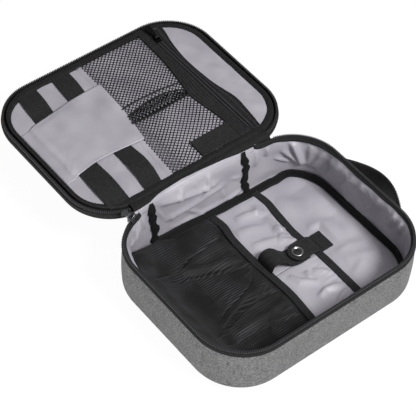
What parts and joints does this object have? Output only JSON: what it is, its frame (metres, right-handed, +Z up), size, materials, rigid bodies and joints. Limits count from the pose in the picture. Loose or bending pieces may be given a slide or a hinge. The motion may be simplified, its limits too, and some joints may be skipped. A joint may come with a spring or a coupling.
{
  "type": "cable organizer pouch",
  "caption": "Soft rectangular zip-round cable organizer pouch laid open, with tray pockets, a snap strap, a side handle and a lid with loops and a zipped mesh pocket.",
  "frame": {"origin": "centre of the tray's flat base, on the surface it stands on", "axes": "+X to the right along the hinge, +Y from the tray's front to the hinge and the open lid, +Z up"},
  "size_m": [0.2731, 0.404, 0.0658],
  "materials": {
    "heather_cloth": "melange woven polyester, matte",
    "satin_lining": "soft satin-weave lining",
    "foam": "closed-cell foam, hidden",
    "board": "stiff sheet, hidden",
    "black_knit": "stretch knit and mesh, matte",
    "edge_elastic": "fold-over elastic, matte",
    "black_webbing": "woven tape and elastic, matte",
    "snap_metal": "nickel plated, satin",
    "zip_metal": "gunmetal, satin",
    "zip_nylon": "nylon teeth, satin"
  },
  "bodies": {
    "tray": {"base_panel": "heather_cloth", "wall_cloth": "heather_cloth", "wall_foam": "foam", "base_board": "board", "wall_lining": "satin_lining", "floor_lining": "satin_lining", "floor_seam_tape": "black_webbing", "back_band_left": "black_webbing", "back_band_right": "black_webbing", "stretch_pocket": "black_knit", "stretch_pocket_edge": "edge_elastic", "satin_pocket_rear": "satin_lining", "satin_pocket_front": "satin_lining", "satin_pocket_edge": "edge_elastic", "tray_zip_tape": "black_webbing", "tray_zip_teeth": "zip_nylon", "tray_hinge_cloth": "black_webbing", "snap_strap": "black_webbing", "snap_stud": "snap_metal", "tab_patch": "black_webbing", "side_handle": "black_webbing"},
    "lid": {"lid_panel": "heather_cloth", "lid_side_band": "black_webbing", "lid_foam": "foam", "lid_lining": "satin_lining", "lid_binding": "black_webbing", "lid_hinge_band": "black_webbing", "lid_zip_tape": "black_webbing", "lid_zip_teeth": "zip_nylon", "lid_hinge_cloth": "black_webbing", "loop_far_outer": "black_webbing", "loop_far_inner": "black_webbing", "loop_near_outer": "black_webbing", "loop_near_inner": "black_webbing", "cover_panel": "satin_lining", "mesh_hem": "satin_lining", "mesh_pocket": "black_knit", "mesh_pleat": "black_knit", "mesh_zip_tape_left": "black_webbing", "mesh_zip_tape_right": "black_webbing", "mesh_zip_coils": "zip_nylon", "side_pocket_panel": "satin_lining", "hinge_tab": "black_webbing"},
    "snap_tab": {"snap_tab": "black_webbing", "snap_socket": "snap_metal", "snap_cap": "snap_metal"},
    "left_slider": {"left_slider": "zip_metal"},
    "left_pull": {"left_pull": "zip_metal"},
    "mesh_slider": {"mesh_slider": "zip_metal"},
    "mesh_pull": {"mesh_pull": "zip_metal"}
  },
  "joints": [
    {"name": "lid_hinge", "type": "hinge", "parent": "tray", "child": "lid", "pos_m": [0, 0.102, 0.06], "axis": [1, 0, 0], "range_deg": [0, 180]},
    {"name": "left_slider_run", "type": "hinge", "parent": "tray", "child": "left_slider", "pos_m": [-0.073, 0.048, 0.06], "axis": [0, 0, 1], "range_deg": [0, 40]},
    {"name": "left_pull_swing", "type": "hinge", "parent": "left_slider", "child": "left_pull", "pos_m": [-0.09163, 0.10017, 0.0605], "axis": [0.9418, 0.3363, 0], "range_deg": [-90, 60]},
    {"name": "mesh_slider_run", "type": "slide", "parent": "lid", "child": "mesh_slider", "axis": [0, -1, 0], "range_m": [0, 0.14]},
    {"name": "mesh_pull_lift", "type": "hinge", "parent": "mesh_slider", "child": "mesh_pull", "pos_m": [0.075, 0.276, 0.0642], "axis": [1, 0, 0], "range_deg": [0, 170]},
    {"name": "snap_tab_open", "type": "hinge", "parent": "tray", "child": "snap_tab", "pos_m": [0.061, -0.001, 0.0055], "axis": [0, 1, 0], "range_deg": [0, 100]}
  ]
}
